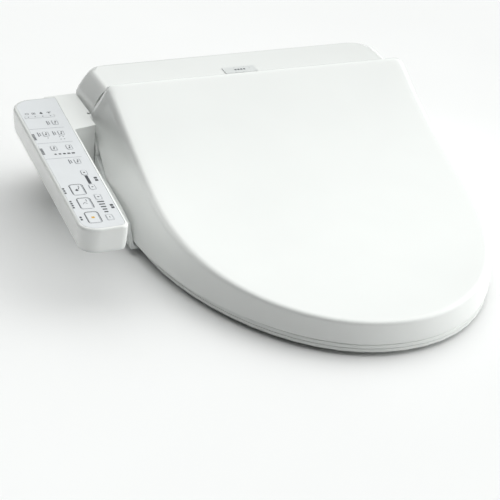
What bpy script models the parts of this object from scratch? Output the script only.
"""Electric bidet seat with a side control panel, built as separate solids.

Helpers take millimetres and make metres. While modelling, x = 0 is the centre line, y = 0 is near
the middle of the seat with the front towards -y, and z = 0 is the surface the unit rests on. At
the end everything slides so that the origin is on the underside of the mounting plate.
"""

import math

import bmesh
import bpy
from mathutils import Matrix, Vector

MM = 0.001
GAP = 0.35  # clearance between pieces that touch
SHARP_ANGLE = math.radians(38)
PLATE_Y = 182.0  # the mounting plate's middle, which becomes y = 0

# lid, as its lower edge and the ridge round its top
LID_HALF = 200.0
LID_TIP = -261.5
LID_REAR = 185.0
LID_WALL = 3.0
RIDGE_HALF = 184.0
RIDGE_TIP = -260.0
RIDGE_REAR = 176.0
RIDGE_LOW = 38.5
RIDGE_RISE = 95.3
CROWN = 3.0
SKIRT_LOW = 13.7
SKIRT_REAR = 99.0
REAR_RIM = 124.0
RIM_X = (179.8, 193.0)
LID_CENTRE = -20.0

# hinge line shared by the seat and the lid
HINGE_Y = 163.5
HINGE_Z = 113.5
TROUGH_R = 25.2
LID_SWEEP = 23.5
BOSS_R = 8.6
LUG_R = 8.2
PIN_R = 4.0
PIN_BORE = 4.3

# seat ring
SEAT_HALF = 192.0
SEAT_REAR = 94.0
SEAT_BOTTOM = 4.0
SEAT_SPLIT = 8.4
ARM_X = (170.3, 178.3)

# main case
BLOCK_HALF = 168.0
BLOCK_FRONT = 106.0
CASE_REAR = 258.5
CASE_FRONT = 184.5
CASE_SPLIT = 60.0
CASE_TOP = 124.6
WALL = 3.0

# side panel: its own frame starts at the front left corner, u across and v towards the rear
PANEL_X = -299.8
PANEL_Y = -94.0
PANEL_SPLAY = 0.0613
PANEL_CORNERS = ((0.0, 0.0), (53.1, 5.2), (57.4, 338.6), (0.0, 334.5))
PANEL_RADII = (20.0, 10.0, 2.0, 25.0)
PANEL_LOW = 71.0
PANEL_TOP = 96.4
OVERLAY_SINK = 0.9
ARM_LOW = 40.0
ARM_FRONT = 153.0
ARM_REAR = 243.0
BOARD_TOP = 87.6
BUTTON_TRAVEL = 0.7
BUTTON_TOP = 96.7
COLUMN_A = 19.7
COLUMN_B = 37.2
LARGE = (6.5, 12.2)
MEDIUM = (3.6, 6.8)
SMALL = (3.2, 6.0)
# name, u, v and half sizes of each button
BUTTONS = (
    ("stop_button", COLUMN_A, 29.9, LARGE),
    ("rear_wash_button", COLUMN_A, 62.9, LARGE),
    ("front_wash_button", COLUMN_A, 95.8, LARGE),
    ("pressure_down_button", COLUMN_B, 27.7, MEDIUM),
    ("pressure_up_button", COLUMN_B, 75.7, MEDIUM),
    ("nozzle_forward_button", COLUMN_B, 99.8, SMALL),
    ("nozzle_back_button", COLUMN_B, 135.4, SMALL),
    ("deodorizer_button", COLUMN_B, 164.8, SMALL),
    ("water_heat_button", COLUMN_A, 201.5, SMALL),
    ("seat_heat_button", COLUMN_B, 201.5, SMALL),
    ("energy_timer_button", COLUMN_A, 239.0, SMALL),
    ("auto_saver_button", COLUMN_B, 239.0, SMALL),
    ("power_button", COLUMN_B, 267.5, SMALL),
)

# nozzle drive: the nozzle runs along ALONG, and ACROSS points up and forward at right angles to it
NOZZLE_X = -20.0
NOZZLE_TILT = math.radians(38.0)
NOZZLE_TIP = Vector((NOZZLE_X, 112.0, 9.0))
NOZZLE_R = 5.5
NOZZLE_LENGTH = 137.0
ALONG = Vector((0.0, -math.cos(NOZZLE_TILT), -math.sin(NOZZLE_TILT)))
ACROSS = Vector((0.0, -math.sin(NOZZLE_TILT), math.cos(NOZZLE_TILT)))
SIDE = Vector((1.0, 0.0, 0.0))
GEAR_TEETH = 10
GEAR_MODULE = 1.5
GEAR_R = GEAR_TEETH * GEAR_MODULE / 2
RACK_FACE = 9.4  # the rack's pitch line, from the nozzle's axis
PINION_BACK = 42.0  # the pinion's distance behind the nozzle's tip

FAN_CENTRE = (116.0, 222.0)

MATERIALS = {
    "white_gloss": ((0.91, 0.92, 0.91), 0.12, 0.0),
    "white_satin": ((0.82, 0.84, 0.84), 0.35, 0.0),
    "panel_film": ((0.84, 0.86, 0.88), 0.28, 0.0),
    "button_film": ((0.80, 0.82, 0.84), 0.30, 0.0),
    "grey_plastic": ((0.45, 0.47, 0.48), 0.45, 0.0),
    "dark_plastic": ((0.06, 0.06, 0.07), 0.45, 0.0),
    "rubber": ((0.62, 0.64, 0.64), 0.75, 0.0),
    "steel": ((0.62, 0.62, 0.60), 0.28, 1.0),
    "brass": ((0.72, 0.55, 0.28), 0.30, 1.0),
    "circuit_board": ((0.04, 0.22, 0.10), 0.50, 0.0),
    "heater_film": ((0.70, 0.42, 0.16), 0.40, 0.0),
    "clear_lens": ((0.55, 0.60, 0.62), 0.10, 0.0),
    "carbon_filter": ((0.10, 0.10, 0.10), 0.85, 0.0),
}


def clear_scene():
    for obj in list(bpy.data.objects):
        bpy.data.objects.remove(obj, do_unlink=True)


def make_materials():
    made = {}
    for name, (colour, roughness, metallic) in MATERIALS.items():
        material = bpy.data.materials.new(name)
        material.use_nodes = True
        shader = material.node_tree.nodes["Principled BSDF"]
        shader.inputs["Base Color"].default_value = (*colour, 1.0)
        shader.inputs["Roughness"].default_value = roughness
        shader.inputs["Metallic"].default_value = metallic
        made[name] = material
    return made


def smooth(mesh):
    mesh.shade_smooth()
    mesh.set_sharp_from_angle(angle=SHARP_ANGLE)


def new_object(name, bm, material):
    bmesh.ops.recalc_face_normals(bm, faces=bm.faces)
    mesh = bpy.data.meshes.new(name)
    bm.to_mesh(mesh)
    bm.free()
    smooth(mesh)
    mesh.materials.append(PAINT[material])
    obj = bpy.data.objects.new(name, mesh)
    bpy.context.scene.collection.objects.link(obj)
    return obj


# ---------------------------------------------------------------- outlines


def rounded(points, radii, steps=6):
    """A polygon with each corner turned into an arc of its own radius."""
    outline = []
    count = len(points)
    for i, corner in enumerate(points):
        here = Vector(corner)
        back = (Vector(points[i - 1]) - here).normalized()
        ahead = (Vector(points[(i + 1) % count]) - here).normalized()
        half_angle = back.angle(ahead) / 2
        run = radii[i] / math.tan(half_angle)
        centre = here + (back + ahead).normalized() * (radii[i] / math.sin(half_angle))
        start = here + back * run - centre
        end = here + ahead * run - centre
        sweep = start.angle_signed(end) if radii[i] > 1e-6 else 0.0
        for k in range(steps + 1):
            turn = -sweep * k / steps
            spun = Vector((start.x * math.cos(turn) - start.y * math.sin(turn),
                           start.x * math.sin(turn) + start.y * math.cos(turn)))
            outline.append(tuple(centre + spun))
    return outline


def rounded_box_outline(x_range, y_range, radius, steps=5):
    (x0, x1), (y0, y1) = x_range, y_range
    return rounded(((x0, y0), (x1, y0), (x1, y1), (x0, y1)), (radius,) * 4, steps)


def circle(radius, steps=32):
    turns = (2 * math.pi * k / steps for k in range(steps))
    return [(radius * math.cos(a), radius * math.sin(a)) for a in turns]


def seat_plan(half, tip, wide, rear, corner, power_x, power_y, front_steps=40):
    """A toilet seat's outline: a superellipse in front of y = wide, straight sides, round rear corners."""
    points = []
    for k in range(front_steps + 1):
        turn = math.pi * k / front_steps
        side = math.copysign(abs(math.cos(turn)) ** (2 / power_x), math.cos(turn))
        reach = max(math.sin(turn), 0.0) ** (2 / power_y)
        points.append((half * side, wide - (wide - tip) * reach))
    straight = rear - corner - wide
    side_steps = 9
    corner_steps = 6
    rear_steps = 8
    runs = (1 - (1 - k / side_steps) ** 1.7 for k in range(1, side_steps + 1))
    left = [(-half, wide + straight * run) for run in runs]
    for k in range(1, corner_steps + 1):
        turn = math.pi / 2 * k / corner_steps
        left.append((-half + corner * (1 - math.cos(turn)), rear - corner * (1 - math.sin(turn))))
    flat = half - corner
    back = [(-flat * math.cos(math.pi * k / rear_steps), rear) for k in range(1, rear_steps)]
    right = [(-x, y) for x, y in reversed(left)]
    return points + left + back + right


def lid_outline(inset, blend):
    """The lid in plan, from its lower edge (blend 0) to its top ridge (blend 1)."""
    low = seat_plan(LID_HALF - inset, LID_TIP + inset, 30.0, LID_REAR - inset, 6.0, 2.1, 1.77)
    high = seat_plan(RIDGE_HALF - inset, RIDGE_TIP + inset, 13.0, RIDGE_REAR - inset, 14.0, 2.0, 2.05)
    return [tuple(Vector(a).lerp(Vector(b), blend)) for a, b in zip(low, high)]


def ridge_height(y):
    along = max(0.0, (y - LID_TIP) / (RIDGE_REAR - LID_TIP))
    return RIDGE_LOW + RIDGE_RISE * along ** 2.4


def lid_top(x, y):
    """Height of the lid's top skin, which swells a little towards its middle."""
    across = (x / RIDGE_HALF) ** 2
    middle = (RIDGE_TIP + RIDGE_REAR) / 2
    along = ((y - middle) / (RIDGE_REAR - middle)) ** 2
    return ridge_height(y) + CROWN * max(0.0, 1.0 - across) * max(0.0, 1.0 - along)


def skirt_bottom(y, x=LID_HALF):
    """Height of the lid's lower edge. It climbs towards the rear, to clear the side arm, follows the
    sweep round the hinge at the rear corners, and stops short along the back."""
    climb = min(1.0, max(0.0, (y + 3.0) / 179.0))
    edge = SKIRT_LOW + (SKIRT_REAR - 3.4 - SKIRT_LOW) * climb ** 2.56
    if y < HINGE_Y + 6.0:
        return edge
    behind = min(y - HINGE_Y, LID_SWEEP - 0.1)
    edge = max(edge, HINGE_Z - math.sqrt(LID_SWEEP ** 2 - behind ** 2))
    turn = min(1.0, max(0.0, (RIM_X[1] - abs(x)) / (RIM_X[1] - RIM_X[0])))
    return edge + (REAR_RIM - edge) * turn * turn * (3 - 2 * turn)


# ---------------------------------------------------------------- solids


def loft(name, rings, material, closed=False):
    """Skin matching rings. A closed loft joins its last ring to its first, an open one is capped."""
    bm = bmesh.new()
    loops = [[bm.verts.new(Vector(point) * MM) for point in ring] for ring in rings]
    pairs = list(zip(loops, loops[1:]))
    if closed:
        pairs.append((loops[-1], loops[0]))
    else:
        bm.faces.new(loops[0])
        bm.faces.new(loops[-1])
    count = len(loops[0])
    for low, high in pairs:
        for i in range(count):
            j = (i + 1) % count
            bm.faces.new((low[i], low[j], high[j], high[i]))
    return new_object(name, bm, material)


def stack(name, layers, material):
    """Skin outlines stacked in z, given as (outline, height) pairs."""
    rings = [[(x, y, z) for x, y in outline] for outline, z in layers]
    return loft(name, rings, material)


def prism(name, outline, axis, span, material):
    """An outline pulled along x, y or z, over a span."""
    place = {
        "x": lambda p, s: (s, p[0], p[1]),
        "y": lambda p, s: (p[0], s, p[1]),
        "z": lambda p, s: (p[0], p[1], s),
    }[axis]
    return loft(name, [[place(p, s) for p in outline] for s in span], material)


def bar(name, outline, origin, right, up, span, material):
    """An outline in the plane of right and up, pulled along their normal, over a span."""
    ahead = right.cross(up)
    rings = [[origin + right * p[0] + up * p[1] + ahead * s for p in outline] for s in span]
    return loft(name, rings, material)


def rod(name, start, end, radius, material, steps=32):
    """A round bar between two points."""
    axis = Vector(end) - Vector(start)
    turn = axis.to_track_quat("Z", "Y")
    ends = (Vector(start), Vector(end))
    rings = [[tuple(p + turn @ Vector((x, y, 0.0))) for x, y in circle(radius, steps)] for p in ends]
    return loft(name, rings, material)


def box(name, x_range, y_range, z_range, material, radius=0.0):
    outline = rounded_box_outline(x_range, y_range, max(radius, 0.01), 4 if radius else 1)
    return prism(name, outline, "z", z_range, material)


def combine(obj, others, operation):
    """Join or cut solids with exact Booleans, and remove the helpers."""
    for other in others:
        step = obj.modifiers.new(operation.lower(), "BOOLEAN")
        step.operation = operation
        step.solver = "EXACT"
        step.object = other
    bpy.context.view_layer.update()
    graph = bpy.context.evaluated_depsgraph_get()
    mesh = bpy.data.meshes.new_from_object(obj.evaluated_get(graph))
    obj.modifiers.clear()
    obj.data = mesh
    for other in others:
        bpy.data.objects.remove(other, do_unlink=True)
    bm = bmesh.new()
    bm.from_mesh(mesh)
    bmesh.ops.remove_doubles(bm, verts=bm.verts, dist=1e-6)
    bmesh.ops.dissolve_degenerate(bm, edges=bm.edges, dist=1e-6)
    bm.to_mesh(mesh)
    bm.free()
    smooth(mesh)
    return obj


def join(obj, *others):
    return combine(obj, others, "UNION")


def cut(obj, *others):
    return combine(obj, others, "DIFFERENCE")


# ---------------------------------------------------------------- lid


def lid_ring(inset, blend, drop):
    """One ring round the lid's wall; blend runs from the lower edge to the ridge."""
    ring = []
    for x, y in lid_outline(inset, blend):
        low = skirt_bottom(y, x)
        high = lid_top(x, y) - drop
        ring.append((x, y, low + (high - low) * blend))
    return ring


def lid_cap(inset, scale, drop):
    """One ring of the lid's top skin, shrunk towards its middle."""
    ring = []
    for x, y in lid_outline(inset, 1.0):
        across = x * scale
        along = LID_CENTRE + (y - LID_CENTRE) * scale
        ring.append((across, along, lid_top(across, along) - drop))
    return ring


def lid_corner(inset, drop, t):
    """A ring of the round edge between the wall and the top skin."""
    wall = lid_ring(inset, 0.82, drop)
    corner = lid_ring(inset, 1.0, drop)
    top = lid_cap(inset + 6.0, 1.0, drop)
    ring = []
    for a, b, c in zip(wall, corner, top):
        spot = Vector(a) * (1 - t) ** 2 + Vector(b) * 2 * t * (1 - t) + Vector(c) * t * t
        ring.append(tuple(spot))
    return ring


def build_lid():
    inner = [lid_cap(LID_WALL + 6.0, s, LID_WALL) for s in (0.12, 0.38, 0.62, 0.84)]
    inner += [lid_corner(LID_WALL, LID_WALL, t) for t in (1.0, 0.5, 0.0)]
    inner += [lid_ring(LID_WALL, 0.0, LID_WALL)]
    outer = [lid_ring(0.0, b, 0.0) for b in (0.0, 0.3, 0.6)]
    outer += [lid_corner(0.0, 0.0, t) for t in (0.0, 0.25, 0.5, 0.75, 1.0)]
    shares = (0.96, 0.9, 0.8, 0.7, 0.6, 0.5, 0.4, 0.3, 0.2, 0.12, 0.05, 0.01)
    outer += [lid_cap(6.0, s, 0.0) for s in shares]
    lid = loft("lid_shell", inner + outer, "white_gloss")
    for side in (-1, 1):
        ends = [Vector((side * x, HINGE_Y, HINGE_Z)) for x in (179.0, 185.7)]
        join(lid, rod("boss", ends[0], ends[1], 6.2, "white_gloss"))
    for side in (-1, 1):
        ends = [Vector((side * x, HINGE_Y, HINGE_Z)) for x in (178.8, 184.2)]
        cut(lid, rod("bore", ends[0], ends[1], PIN_BORE, "white_gloss"))
    for side, name in ((-1, "lid_bumper_left"), (1, "lid_bumper_right")):
        x, y = side * 128.0, -128.0
        top = lid_top(x, y) - LID_WALL - 1.2
        rod(name, (x, y, 33.6), (x, y, top), 6.5, "rubber", 24)


# ---------------------------------------------------------------- seat


def seat_rings(profile):
    """Rings round the seat: each profile point is a share of the way in, an extra run and a height."""
    outer = seat_plan(SEAT_HALF, LID_TIP, 10.0, SEAT_REAR, 30.0, 2.1, 1.77, 28)
    inner = seat_plan(106.0, -192.0, -70.0, 50.0, 60.0, 2.0, 2.0, 28)
    rings = []
    for share, extra, height in profile:
        ring = []
        for a, b in zip(outer, inner):
            across = Vector(b) - Vector(a)
            spot = Vector(a) + across * share + across.normalized() * extra
            ring.append((spot.x, spot.y, height))
        rings.append(ring)
    return rings


def build_seat():
    low = SEAT_SPLIT + 0.2
    top_profile = (
        (0, 0.0, low), (0, 0.0, 12.4), (0, 0.9, 13.2), (0, 6.0, 13.4), (0, 8.0, 20.0),
        (0.18, 0.0, 28.0), (0.36, 0.0, 32.0), (0.56, 0.0, 32.4), (0.76, 0.0, 29.0),
        (0.91, 0.0, 23.5), (1, -1.2, 19.0), (1, 0.0, 15.0), (1, 0.0, low), (1, -3.0, low),
        (1, -3.2, 14.5), (0.9, -2.0, 19.5), (0.75, 0.0, 25.6), (0.56, 0.0, 29.2),
        (0.36, 0.0, 28.8), (0.18, 2.0, 24.4), (0, 11.0, 18.0), (0, 10.0, 10.6),
        (0, 3.0, 10.4), (0, 3.0, low),
    )
    seat = loft("seat_top", seat_rings(top_profile), "white_gloss", closed=True)
    arm = ((HINGE_Y - 3.0, HINGE_Z + 7.4), (HINGE_Y + 5.0, HINGE_Z - 5.0), (101.0, 10.0), (52.0, 10.0),
           (52.0, 24.0), (94.0, 38.0))
    for side in (-1, 1):
        span = [side * x for x in ARM_X]
        ends = [Vector((x, HINGE_Y, HINGE_Z)) for x in span]
        lug = rod("lug", ends[0], ends[1], LUG_R, "white_gloss")
        join(seat, prism("arm", arm, "x", span, "white_gloss"), lug)
    for side in (-1, 1):
        ends = [Vector((side * x, HINGE_Y, HINGE_Z)) for x in (ARM_X[0] - 1, ARM_X[1] + 1)]
        cut(seat, rod("bore", ends[0], ends[1], PIN_BORE, "white_gloss"))
    high = SEAT_SPLIT - 0.2
    base_profile = ((0, 1.0, SEAT_BOTTOM), (0, 0.0, 5.0), (0, 0.0, high), (1, 0.0, high),
                    (1, 0.0, 5.0), (1, -1.0, SEAT_BOTTOM))
    loft("seat_base", seat_rings(base_profile), "white_gloss", closed=True)
    film = ((0.34, 0.0, 27.6), (0.72, 0.0, 24.2), (0.72, 0.0, 23.6), (0.34, 0.0, 27.0))
    loft("seat_heater_film", seat_rings(film), "heater_film", closed=True)
    feet = (("front_left", -95, -188), ("front_right", 95, -188),
            ("rear_left", -140, 20), ("rear_right", 140, 20))
    for name, x, y in feet:
        span_x = (x - 16.0, x + 16.0)
        box(f"seat_bumper_{name}", span_x, (y - 8.0, y + 8.0), (0.0, SEAT_BOTTOM - GAP), "rubber", 6.0)


# ---------------------------------------------------------------- main case


def case_ring(half, rear, radius, z, front=CASE_FRONT):
    corners = ((-half, front), (half, front), (half, rear), (-half, rear))
    return rounded(corners, (2.0, 2.0, radius, radius)), z


def cover_ring(left, right, rear, right_radius, z):
    """A ring of the upper case, which leans in further on the right than on the panel's side."""
    corners = ((left, CASE_FRONT), (right, CASE_FRONT), (right, rear), (left, rear))
    return rounded(corners, (2.0, 2.0, right_radius, 14.0)), z


def wing(side, x_range, points):
    return prism("wing", points, "x", [side * x for x in x_range], "white_gloss")


def skirt_line(stations, low, high):
    """Spots that follow the lid's lower edge, just below it, between two heights."""
    return [(y, min(high, max(low, skirt_bottom(y) - 2.6))) for y in stations]


def base_wings():
    """Wings of the lower case that run forward under the lid, with a lip outside it on the arm's side."""
    tops = skirt_line((34, 60, 90, 115, 135, 150), 8.0, CASE_SPLIT - 0.2)
    under = [(16.0, 8.0), (18.0, 10.0)] + tops + [(185.6, tops[-1][1]), (185.6, 8.0)]
    lip = [(16.0, 8.0), (18.0, 10.0), (34.0, 30.0), (60.0, 36.0), (122.0, 44.0), (144.0, 44.0),
           (144.0, 39.0), (185.6, 39.0), (185.6, 8.0)]
    return [wing(-1, (203.0, 192.8), under), wing(-1, (204.6, 200.7), lip), wing(1, (192.8, 199.4), under)]


def build_base_case():
    rear = stack("base_case", [
        case_ring(196.0, 255.0, 14.0, 0.0),
        case_ring(198.0, 257.0, 15.0, 4.0),
        case_ring(199.5, CASE_REAR, 16.0, 30.0),
        case_ring(198.7, CASE_REAR, 16.0, CASE_SPLIT - 0.2),
    ], "white_satin")
    block = box("block", (-BLOCK_HALF, BLOCK_HALF), (BLOCK_FRONT, 190.0), (0.0, CASE_SPLIT - 0.2),
                "white_satin", 4.0)
    join(rear, block, *base_wings())
    floor = 5.0
    cut(rear,
        box("hollow_front", (-165, 165), (BLOCK_FRONT + WALL, 192), (floor, 70), "white_satin", 3.0),
        box("hollow_rear", (-193, 193), (188, CASE_REAR - WALL), (floor, 70), "white_satin", 4.0))
    cut(rear,
        box("plate_recess", (-100, 100), (132, 232), (-1, 2.6), "white_satin", 4.0),
        nozzle_slot(),
        box("cartridge_mouth", (190, 205), (199.5, 232.5), (17.5, 42.5), "white_satin"),
        box("release_mouth", (190, 205), (237.5, 250.0), (9.5, 20.5), "white_satin"),
        rod("inlet_mouth", (-205, 222, 22), (-185, 222, 22), 10.4, "white_satin"),
        rod("drain_mouth", (-205, 198, 20), (-185, 198, 20), 8.4, "white_satin"),
        rod("gland_mouth", (150, 250, 22), (150, 262, 22), 7.4, "white_satin"))


def nozzle_slot():
    """The passage that the nozzle and its rack slide out through."""
    outline = ((-7.4, -7.4), (12.0, -7.4), (12.0, 7.4), (-7.4, 7.4))
    return bar("slot", outline, NOZZLE_TIP, SIDE, ACROSS, (-40.0, 30.0), "white_satin")


def build_top_cover():
    low = CASE_SPLIT + 0.2
    shell = stack("top_cover", [
        cover_ring(-198.5, 198.5, CASE_REAR, 16.0, low),
        cover_ring(-198.0, 195.5, CASE_REAR - 1.0, 16.0, 91.0),
        cover_ring(-197.4, 194.0, CASE_REAR - 1.3, 17.0, 97.0),
        cover_ring(-194.8, 191.5, CASE_REAR - 1.6, 18.0, 103.0),
        cover_ring(-191.5, 187.5, CASE_REAR - 1.9, 19.0, 109.0),
        cover_ring(-187.8, 182.0, CASE_REAR - 2.5, 20.0, 115.0),
        cover_ring(-184.3, 176.5, CASE_REAR - 3.5, 21.0, 119.8),
        cover_ring(-181.2, 171.0, CASE_REAR - 5.0, 21.0, 123.0),
        cover_ring(-177.0, 166.0, CASE_REAR - 7.6, 20.0, CASE_TOP),
    ], "white_gloss")
    profile = ((BLOCK_FRONT, low), (BLOCK_FRONT, 90.0), (111.0, 95.5), (124.0, 100.0), (140.0, 108.0),
               (150.0, 110.0), (190.0, 110.0), (190.0, low))
    tops = skirt_line((150.0, 158.0, 164.0, 170.0, 175.0), low, 95.0)
    shoulder = [(150.0, low)] + tops + [(187.0, 95.0), (187.0, low)]
    join(shell, prism("block", profile, "x", (-BLOCK_HALF, BLOCK_HALF), "white_gloss"),
         wing(-1, (202.6, 192.8), shoulder), wing(1, (192.8, 199.4), shoulder))
    trough = [(HINGE_Y + p[0], HINGE_Z + p[1]) for p in circle(TROUGH_R, 40)]
    cut(shell, prism("trough", trough, "x", (-210.0, 210.0), "white_gloss"))
    hollow = ((109.0, 50.0), (109.0, 88.5), (114.0, 92.0), (124.0, 96.0), (133.0, 100.0), (133.0, 83.0),
              (200.0, 83.0), (200.0, 50.0))
    rear_hollow = stack("rear_hollow", [
        case_ring(195.0, CASE_REAR - WALL, 13.0, 50.0, 193.5),
        case_ring(190.0, CASE_REAR - WALL - 1.0, 14.0, 94.0, 193.5),
        case_ring(177.0, CASE_REAR - 6.0, 16.0, 114.0, 193.5),
        case_ring(168.0, CASE_REAR - 9.5, 16.0, 121.0, 193.5),
    ], "white_gloss")
    cut(shell, prism("hollow", hollow, "x", (-165.0, 165.0), "white_gloss"), rear_hollow)
    for side in (-1, 1):
        ends = [Vector((side * x, HINGE_Y, HINGE_Z)) for x in (150.0, BLOCK_HALF)]
        web = ((HINGE_Y - 6.0, 86.0), (HINGE_Y + 3.0, 86.0), (HINGE_Y + 3.0, HINGE_Z - 7.0),
               (HINGE_Y - 7.0, HINGE_Z - 7.0))
        join(shell, rod("boss", ends[0], ends[1], BOSS_R, "white_gloss"),
             prism("web", web, "x", [side * 150.0, side * BLOCK_HALF], "white_gloss"))
    for side in (-1, 1):
        ends = [Vector((side * x, HINGE_Y, HINGE_Z)) for x in (149.0, 169.0)]
        cut(shell, rod("bore", ends[0], ends[1], PIN_BORE, "white_gloss"))
    recess_z = (CASE_TOP - 0.7, CASE_TOP + 2)
    cut(shell, box("recess", (-31.5, 9.5), (194.5, 211.5), recess_z, "white_gloss", 1.5))
    box("name_plate", (-31.1, 9.1), (194.9, 211.1), (CASE_TOP - 0.35, CASE_TOP + 0.6), "steel", 1.2)


def build_hinges():
    for side, name in ((-1, "left"), (1, "right")):
        ends = [Vector((side * x, HINGE_Y, HINGE_Z)) for x in (151.0, 183.6)]
        rod(f"hinge_pin_{name}", ends[0], ends[1], PIN_R, "steel", 24)
    for side, name in ((-1, "lid_damper"), (1, "seat_damper")):
        ends = [Vector((side * x, HINGE_Y, HINGE_Z)) for x in (112.0, 149.6)]
        damper = rod(name, ends[0], ends[1], 8.0, "grey_plastic")
        foot = [(HINGE_Y + y, HINGE_Z + z) for y, z in ((-4, -24.2), (4, -24.2), (4, -5), (-4, -5))]
        join(damper, prism("foot", foot, "x", [side * 116.0, side * 132.0], "grey_plastic"))


# ---------------------------------------------------------------- side panel


def panel_point(u, v):
    """A spot on the side panel, from its own frame to the seat's."""
    x = PANEL_X + u * math.cos(PANEL_SPLAY) + v * math.sin(PANEL_SPLAY)
    y = PANEL_Y - u * math.sin(PANEL_SPLAY) + v * math.cos(PANEL_SPLAY)
    return x, y


def panel_outline(inset):
    pulls = ((1, 1), (-1, 1), (-1, -1), (1, -1))
    corners = [(u + inset * a, v + inset * b) for (u, v), (a, b) in zip(PANEL_CORNERS, pulls)]
    radii = [max(0.5, r - inset) for r in PANEL_RADII]
    return [panel_point(u, v) for u, v in rounded(corners, radii)]


def panel_patch(u, v, half_u, half_v, radius, steps=4):
    """A rounded rectangle on the panel."""
    outline = rounded_box_outline((u - half_u, u + half_u), (v - half_v, v + half_v), radius, steps)
    return [panel_point(a, b) for a, b in outline]


def button_holes(z_range):
    holes = []
    for name, u, v, (half_u, half_v) in BUTTONS:
        outline = panel_patch(u, v, half_u + GAP, half_v + GAP, 2.2)
        holes.append(prism(f"hole_{name}", outline, "z", z_range, "panel_film"))
    window = panel_patch(24.0, 285.7, 17.4, 3.4, 1.4)
    holes.append(prism("hole_window", window, "z", z_range, "panel_film"))
    return holes


def build_side_panel():
    case = stack("side_panel_case", [
        (panel_outline(1.6), PANEL_LOW),
        (panel_outline(0.5), 82.0),
        (panel_outline(0.0), 93.4),
        (panel_outline(0.35), 94.7),
        (panel_outline(1.3), 95.8),
        (panel_outline(2.7), PANEL_TOP),
    ], "white_gloss")
    arm = ((-238.0, ARM_FRONT - 8.0), (-227.0, ARM_FRONT - 4.6), (-203.4, ARM_FRONT + 1.0), (-203.4, 187.6),
           (-199.6, 187.6), (-199.2, ARM_REAR), (-238.0, ARM_REAR - 2.0))
    arm_body = prism("arm", rounded(arm, (1.0, 1.0, 1.5, 0.4, 0.4, 2.0, 2.0), 4), "z", (ARM_LOW, PANEL_TOP),
                     "white_gloss")
    join(case, arm_body)
    hollow = ((-235.0, ARM_FRONT + 1.0), (-207.0, ARM_FRONT + 5.0), (-207.0, 191.0), (-202.6, 191.0),
              (-202.6, ARM_REAR - 3.0), (-235.0, ARM_REAR - 5.0))
    cut(case,
        prism("hollow_panel", panel_outline(3.6), "z", (PANEL_LOW - 0.8, 93.0), "white_gloss"),
        prism("hollow_arm", hollow, "z", (ARM_LOW + 3.0, 93.0), "white_gloss"))
    sink_z = (PANEL_TOP - OVERLAY_SINK, 99.0)
    cut(case, prism("overlay_recess", panel_outline(3.4), "z", sink_z, "white_gloss"))
    cut(case, *button_holes((90.0, 99.0)))
    bottom_z = (PANEL_LOW - 2.8, PANEL_LOW - GAP)
    bottom = prism("side_panel_bottom", panel_outline(2.4), "z", bottom_z, "white_satin")
    cut(bottom, box("notch", (-239.0, -190.0), (142.0, 250.0), (60.0, 72.0), "white_satin"))
    low = PANEL_TOP - OVERLAY_SINK + 0.3
    overlay = prism("panel_overlay", panel_outline(3.8), "z", (low, PANEL_TOP), "panel_film")
    cut(overlay, *button_holes((92.0, 99.0)))
    board = [panel_point(u, v) for u, v in rounded(((8, 12), (47, 12), (49, 300), (7, 300)), (8, 6, 2, 2))]
    prism("panel_board", board, "z", (BOARD_TOP - 1.6, BOARD_TOP), "circuit_board")
    window = [(panel_patch(24.0, 285.7, 17.0, 3.0, 1.2), z) for z in (90.5, PANEL_TOP + 0.1)]
    stack("indicator_window", window, "clear_lens")


def build_buttons():
    stem = BOARD_TOP + BUTTON_TRAVEL + 0.3
    for name, u, v, (half_u, half_v) in BUTTONS:
        layers = (
            (2.0, 2.0, 1.0, stem), (2.0, 2.0, 1.0, 90.8),
            (half_u + 0.9, half_v + 0.9, 2.4, 90.8), (half_u + 0.9, half_v + 0.9, 2.4, 91.9),
            (half_u, half_v, 2.0, 91.9), (half_u, half_v, 2.0, BUTTON_TOP - 0.25),
            (half_u - 0.3, half_v - 0.3, 1.8, BUTTON_TOP),
        )
        stack(name, [(panel_patch(u, v, a, b, r, 3), z) for a, b, r, z in layers], "button_film")


# ---------------------------------------------------------------- nozzle drive


def behind_tip(distance):
    return NOZZLE_TIP - ALONG * distance


def rack_outline(start, end):
    """A toothed strip beside the nozzle, as (sideways, behind the tip) spots, with slim teeth."""
    pitch = math.pi * GEAR_MODULE
    foot = RACK_FACE - 1.6
    crest = RACK_FACE + 1.2
    points = [(NOZZLE_R + GAP, start), (foot, start)]
    first = math.ceil((start + 1.6 - PINION_BACK) / pitch - 0.5)
    last = math.floor((end - 1.6 - PINION_BACK) / pitch - 0.5)
    for k in range(first, last + 1):
        middle = PINION_BACK + pitch * (k + 0.5)
        points += [(foot, middle - 1.35), (crest, middle - 0.45)]
        points += [(crest, middle + 0.45), (foot, middle + 1.35)]
    return points + [(foot, end), (NOZZLE_R + GAP, end)]


def gear_outline():
    points = []
    for k in range(GEAR_TEETH):
        middle = 2 * math.pi * k / GEAR_TEETH
        for offset, rise in ((-1.3, -1.7), (-0.45, 1.2), (0.45, 1.2), (1.3, -1.7)):
            turn = middle + offset / GEAR_R
            radius = GEAR_R + rise
            points.append((radius * math.cos(turn), radius * math.sin(turn)))
    return points


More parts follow.
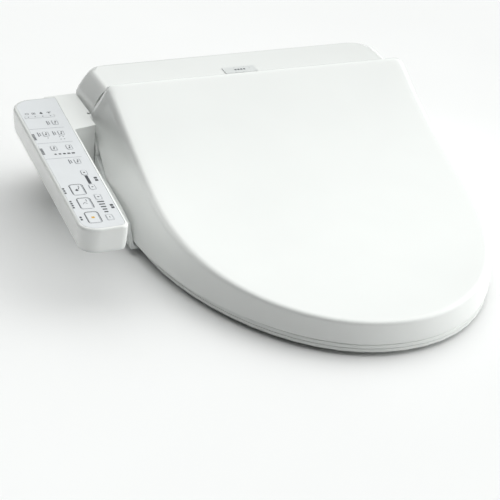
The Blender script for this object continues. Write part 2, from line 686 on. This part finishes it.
def build_nozzle():
    rings = []
    for distance, radius in ((0.0, 3.4), (0.6, 4.6), (2.0, NOZZLE_R), (NOZZLE_LENGTH, NOZZLE_R)):
        middle = behind_tip(distance)
        rings.append([middle + SIDE * x + ACROSS * y for x, y in circle(radius)])
    nozzle = loft("nozzle", rings, "steel")
    jets = [rod("jet", behind_tip(d) + ACROSS * 3.0, behind_tip(d) + ACROSS * 8.0, 1.2, "steel", 12)
            for d in (8.0, 14.0)]
    cut(nozzle, *jets)
    rack = rack_outline(24.0, NOZZLE_LENGTH)
    bar("nozzle_rack", rack, NOZZLE_TIP, SIDE, -ALONG, (-2.4, 2.4), "grey_plastic")
    pinion_at = behind_tip(PINION_BACK) + SIDE * (RACK_FACE + GEAR_R)
    pinion = bar("nozzle_pinion", gear_outline(), pinion_at, SIDE, -ALONG, (-2.8, 2.8), "grey_plastic")
    join(pinion, rod("shaft", pinion_at - ACROSS * 6.0, pinion_at + ACROSS * 9.0, 1.6, "steel", 16))
    motor = rod("nozzle_motor", pinion_at + ACROSS * 5.0, pinion_at + ACROSS * 27.0, 9.5, "steel")
    cut(motor, rod("bore", pinion_at + ACROSS * 4.0, pinion_at + ACROSS * 11.0, 2.0, "steel", 16))
    channel = ((-9.5, -9.5), (9.5, -9.5), (9.5, -3.2), (6.0, -3.2), (6.0, -5.9), (-6.0, -5.9), (-6.0, 4.0),
               (-9.5, 4.0))
    guide = bar("nozzle_guide", channel, NOZZLE_TIP, SIDE, ACROSS, (-128.0, -24.0), "grey_plastic")
    seat_at = behind_tip(PINION_BACK) - ACROSS * 9.4
    foot = ((seat_at.y - 6.0, 5.4), (seat_at.y + 12.0, 5.4), (seat_at.y + 12.0, seat_at.z + 9.3),
            (seat_at.y - 6.0, seat_at.z - 4.6))
    join(guide, prism("foot", foot, "x", (NOZZLE_X - 5.0, NOZZLE_X + 5.0), "grey_plastic"))


# ---------------------------------------------------------------- inner and outer fittings


def build_water_parts():
    tank = rod("water_tank", (52, 149, 44), (158, 149, 44), 31.0, "white_satin", 40)
    join(tank, box("feet", (64, 146), (128, 170), (5.4, 20), "white_satin", 2.0))
    cut(tank, rod("bore", (50, 149, 44), (154, 149, 44), 27.5, "white_satin", 40))
    heater = rod("tank_heater", (48, 149, 44), (58, 149, 44), 27.0, "grey_plastic", 40)
    join(heater, rod("element", (56, 149, 44), (145, 149, 44), 5.0, "steel", 20))
    valve = box("inlet_valve", (-188, -140), (208, 236), (5.4, 36), "grey_plastic", 3.0)
    cut(valve, rod("bore", (-190, 222, 22), (-172, 222, 22), 6.0, "grey_plastic", 24))
    solenoid = rod("valve_solenoid", (-160, 222, 36.4), (-160, 222, 62), 11.0, "dark_plastic", 28)
    join(solenoid, rod("cap", (-160, 222, 62), (-160, 222, 65), 7.0, "dark_plastic", 20))
    nipple = rod("inlet_nipple", (-223, 222, 22), (-188.4, 222, 22), 10.0, "brass", 32)
    cut(nipple, rod("bore", (-225, 222, 22), (-186, 222, 22), 6.6, "brass", 24))
    screen = rod("inlet_filter", (-220, 222, 22), (-200, 222, 22), 6.2, "steel", 24)
    cut(screen, rod("hollow", (-222, 222, 22), (-203, 222, 22), 4.6, "steel", 24))
    plug = rod("drain_plug", (-201.6, 198, 20), (-191, 198, 20), 8.0, "grey_plastic", 32)
    cut(plug, box("slot", (-203, -200), (192, 204), (19, 21), "grey_plastic"))


def build_air_parts():
    x, y = FAN_CENTRE
    housing = rod("fan_housing", (x, y, 8.0), (x, y, 36.0), 25.0, "dark_plastic", 40)
    cut(housing, rod("bore", (x, y, 10.5), (x, y, 38.0), 22.5, "dark_plastic", 40))
    join(housing, rod("hub", (x, y, 10.0), (x, y, 18.0), 7.0, "dark_plastic", 24))
    rotor = rod("fan_rotor", (x, y, 18.6), (x, y, 33.0), 8.0, "grey_plastic", 24)
    blades = []
    for k in range(9):
        turn = 2 * math.pi * k / 9
        out = Vector((math.cos(turn), math.sin(turn), 0.0))
        wide = Vector((-out.y, out.x, 0.0))
        flat = ((-0.8, 19.2), (0.8, 19.2), (0.8, 32.6), (-0.8, 32.6))
        root = Vector((x, y, 0.0))
        blades.append(bar("blade", flat, root, -wide, Vector((0, 0, 1)), (7.0, 20.5), "grey_plastic"))
    join(rotor, *blades)
    cartridge = box("deodorizer_cartridge", (152.0, 201.0), (200.0, 232.0), (18.0, 42.0),
                    "white_satin", 2.0)
    grip = box("grip", (199.8, 203.0), (208.0, 224.0), (27.0, 33.0), "white_satin", 1.5)
    cut(cartridge, grip, box("charcoal", (151.0, 168.0), (204.0, 228.0), (21.0, 39.0), "white_satin"))


def build_electric_parts():
    board = box("control_board", (-155, -45), (114, 115.6), (12, 78), "circuit_board")
    for x, z, wide, high, deep in ((-130, 30, 14, 10, 9), (-95, 55, 22, 8, 4), (-65, 28, 9, 16, 12)):
        join(board, box("chip", (x - wide, x + wide), (115.4, 115.4 + deep), (z - high, z + high),
                        "circuit_board"))
    supply = box("power_supply", (-104, -42), (202, 246), (5.4, 42), "dark_plastic", 3.0)
    for k in range(5):
        z = 12.0 + 6.0 * k
        cut(supply, box("fin", (-106, -102), (206, 242), (z - 1.2, z + 1.2), "dark_plastic"))
    gland = rod("cord_gland", (150, 250, 22), (150, 264, 22), 7.0, "dark_plastic", 24)
    join(gland, rod("lip", (150, 260, 22), (150, 264, 22), 9.0, "dark_plastic", 24))
    cut(gland, rod("cord_hole", (150, 248, 22), (150, 266, 22), 3.6, "dark_plastic", 20))
    release = box("release_button", (189.0, 201.4), (238.0, 249.5), (10.0, 20.0), "grey_plastic", 1.5)
    join(release, box("stop", (189.0, 191.5), (236.0, 251.5), (7.5, 22.5), "grey_plastic"))


def build_mounting_plate():
    plate = box("mounting_plate", (-99.0, 99.0), (133.0, 231.0), (0.0, 2.2), "white_satin", 4.0)
    for x in (-76.0, 76.0):
        cut(plate, box("slot", (x - 8.0, x + 8.0), (146.0, 204.0), (-1.0, 4.0), "white_satin", 7.5))


def place_origins():
    """Slide everything to the delivered frame, and put each moving piece's origin on its joint."""
    for obj in bpy.data.objects:
        obj.data.transform(Matrix.Translation((0.0, -PLATE_Y * MM, 0.0)))
    pinion_at = behind_tip(PINION_BACK) + SIDE * (RACK_FACE + GEAR_R)
    joints = {
        "seat_top": (0.0, HINGE_Y, HINGE_Z),
        "lid_shell": (0.0, HINGE_Y, HINGE_Z),
        "nozzle": NOZZLE_TIP,
        "nozzle_pinion": pinion_at,
        "fan_rotor": (*FAN_CENTRE, 18.6),
        "deodorizer_cartridge": (201.0, 216.0, 30.0),
        "release_button": (201.4, 243.75, 15.0),
        "drain_plug": (-201.6, 198.0, 20.0),
    }
    for name, u, v, _ in BUTTONS:
        joints[name] = (*panel_point(u, v), BUTTON_TOP)
    for name, spot in joints.items():
        origin = (Vector(spot) - Vector((0.0, PLATE_Y, 0.0))) * MM
        obj = bpy.data.objects[name]
        obj.data.transform(Matrix.Translation(-origin))
        obj.location = origin


clear_scene()
PAINT = make_materials()
build_base_case()
build_top_cover()
build_mounting_plate()
build_side_panel()
build_buttons()
build_hinges()
build_seat()
build_lid()
build_nozzle()
build_water_parts()
build_air_parts()
build_electric_parts()
place_origins()
